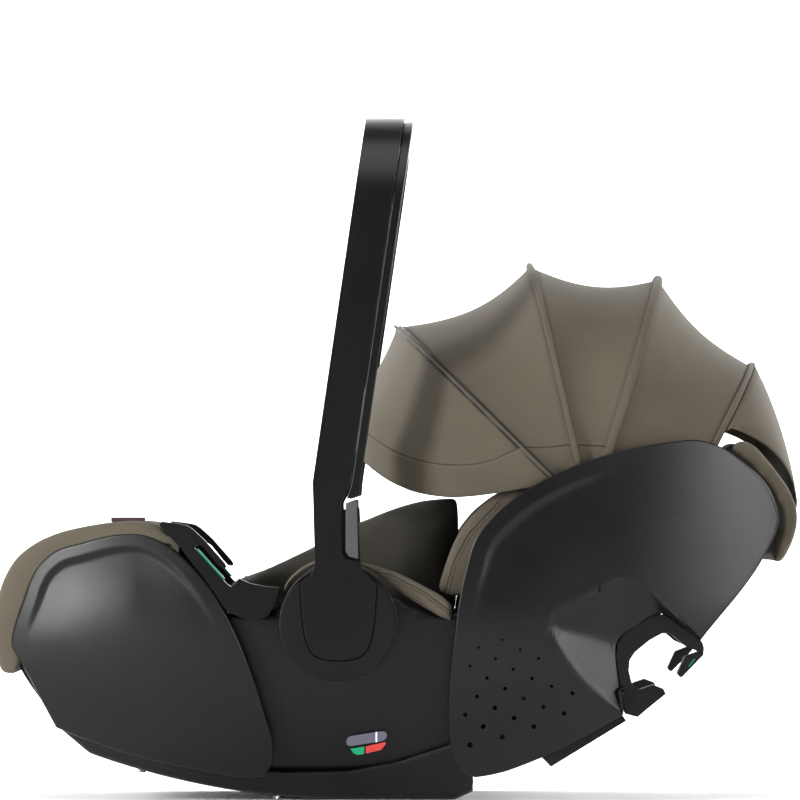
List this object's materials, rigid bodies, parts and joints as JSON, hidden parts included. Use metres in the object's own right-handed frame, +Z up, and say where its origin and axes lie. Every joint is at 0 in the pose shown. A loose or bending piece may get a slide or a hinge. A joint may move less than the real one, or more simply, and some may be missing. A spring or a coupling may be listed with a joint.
{
  "type": "infant car seat",
  "caption": "Rear-facing infant carrier seat with a rocker base, reclining back, folding canopy, swinging carry handle and belt guides.",
  "frame": {"origin": "middle of the flat rest face under the base, on the floor", "axes": "+X towards the head end, +Y across the seat, +Z up"},
  "size_m": [0.6633, 0.44, 0.5622],
  "materials": {
    "shell_plastic": "moulded, fine grain",
    "cover_plastic": "moulded, satin with fine grain",
    "handle_plastic": "moulded, satin with fine grain",
    "grey_plastic": "satin",
    "button_plastic": "satin",
    "bow_plastic": "satin",
    "red_plastic": "gloss",
    "green_mark": "printed",
    "red_mark": "printed",
    "level_lens": "clear over tinted",
    "steel": "turned",
    "crash_foam": "expanded foam, beaded",
    "cover_fabric": "plain weave",
    "lining_fabric": "soft knit",
    "label_fabric": "satin weave",
    "webbing": "woven webbing"
  },
  "bodies": {
    "carrier": {"base_shell": "shell_plastic", "seat_shell": "shell_plastic", "front_cover_left": "cover_plastic", "front_cover_right": "cover_plastic", "lap_belt_guides": "shell_plastic", "lap_slot_markers": "green_mark", "hub_sockets": "shell_plastic", "handle_pivot_pins": "steel", "level_vials": "level_lens", "level_marks_green": "green_mark", "level_marks_red": "red_mark", "docking_bars": "steel", "seat_foam": "crash_foam", "harness_adjuster": "shell_plastic", "adjuster_strap": "webbing", "crotch_strap": "webbing", "crotch_pad": "lining_fabric", "buckle_body": "shell_plastic", "buckle_tongues": "steel", "foot_cover": "cover_fabric", "label_tab": "label_fabric", "side_rolls": "lining_fabric", "seat_pad": "lining_fabric", "side_bolsters": "lining_fabric", "base_screws": "steel"},
    "adjuster_key": {"adjuster_button": "grey_plastic"},
    "buckle_key": {"buckle_button": "red_plastic"},
    "backrest": {"back_shell": "shell_plastic", "rear_cover_left": "cover_plastic", "rear_cover_right": "cover_plastic", "shoulder_belt_guides": "shell_plastic", "guide_inlays": "green_mark", "recline_pins": "steel", "back_foam": "crash_foam", "back_pad": "lining_fabric", "wing_pads": "cover_fabric", "head_cover": "cover_fabric", "canopy_hoop": "bow_plastic", "canopy_skirt": "cover_fabric", "canopy_pivot_pins": "steel", "lever_pin": "steel", "harness_straps": "webbing", "shoulder_pads": "lining_fabric"},
    "release_handle": {"release_lever": "grey_plastic"},
    "headrest": {"headrest_shell": "shell_plastic", "headrest_pad": "lining_fabric"},
    "canopy_rear": {"canopy_bow_rear": "bow_plastic", "canopy_panel_rear": "cover_fabric"},
    "canopy_middle": {"canopy_bow_middle": "bow_plastic", "canopy_panel_middle": "cover_fabric"},
    "canopy_front": {"canopy_bow_front": "bow_plastic", "canopy_panel_front": "cover_fabric", "canopy_visor": "cover_fabric"},
    "handle": {"handle_frame": "handle_plastic", "handle_strip": "grey_plastic", "hub_caps": "handle_plastic"},
    "handle_key_left": {"handle_button_left": "button_plastic"},
    "handle_key_right": {"handle_button_right": "button_plastic"}
  },
  "joints": [
    {"name": "recline", "type": "hinge", "parent": "carrier", "child": "backrest", "pos_m": [0.062, 0, 0.153], "axis": [0, 1, 0], "range_deg": [0, 6]},
    {"name": "handle_swing", "type": "hinge", "parent": "carrier", "child": "handle", "pos_m": [-0.0504, 0, 0.1463], "axis": [0, 1, 0], "range_deg": [-110, 20]},
    {"name": "handle_release_left", "type": "slide", "parent": "handle", "child": "handle_key_left", "axis": [-1, 0, 0], "range_m": [0, 0.0025], "stiffness_N_per_m": 900, "springref_m": -0.001},
    {"name": "handle_release_right", "type": "slide", "parent": "handle", "child": "handle_key_right", "axis": [-1, 0, 0], "range_m": [0, 0.0025], "stiffness_N_per_m": 900, "springref_m": -0.001},
    {"name": "headrest_height", "type": "slide", "parent": "backrest", "child": "headrest", "axis": [0.787, 0, 0.617], "range_m": [0, 0.05]},
    {"name": "canopy_fold", "type": "hinge", "parent": "backrest", "child": "canopy_rear", "pos_m": [0.1555, 0, 0.235], "axis": [0, 1, 0], "range_deg": [0, 22], "deforming": ["canopy_panel_rear"]},
    {"name": "canopy_fold_middle", "type": "hinge", "parent": "canopy_rear", "child": "canopy_middle", "pos_m": [0.1555, 0, 0.235], "axis": [0, 1, 0], "range_deg": [0, 22], "deforming": ["canopy_panel_middle"]},
    {"name": "canopy_fold_front", "type": "hinge", "parent": "canopy_middle", "child": "canopy_front", "pos_m": [0.1555, 0, 0.235], "axis": [0, 1, 0], "range_deg": [0, 22], "deforming": ["canopy_panel_front"]},
    {"name": "back_release", "type": "hinge", "parent": "backrest", "child": "release_handle", "pos_m": [0.28669, 0, 0.18679], "axis": [0, 1, 0], "range_deg": [-14, 0], "stiffness_Nm_per_rad": 0.6, "springref_deg": 5.73},
    {"name": "harness_buckle_button", "type": "slide", "parent": "carrier", "child": "buckle_key", "axis": [-0.8192, 0, 0.5736], "range_m": [0, 0.003], "stiffness_N_per_m": 900, "springref_m": -0.001},
    {"name": "harness_adjuster_button", "type": "slide", "parent": "carrier", "child": "adjuster_key", "axis": [-0.1959, 0, -0.9806], "range_m": [0, 0.003], "stiffness_N_per_m": 900, "springref_m": -0.001}
  ],
  "couplings": [
    {"joint": "canopy_fold_middle", "follows": "canopy_fold", "ratio": 1},
    {"joint": "canopy_fold_front", "follows": "canopy_fold", "ratio": 1}
  ]
}
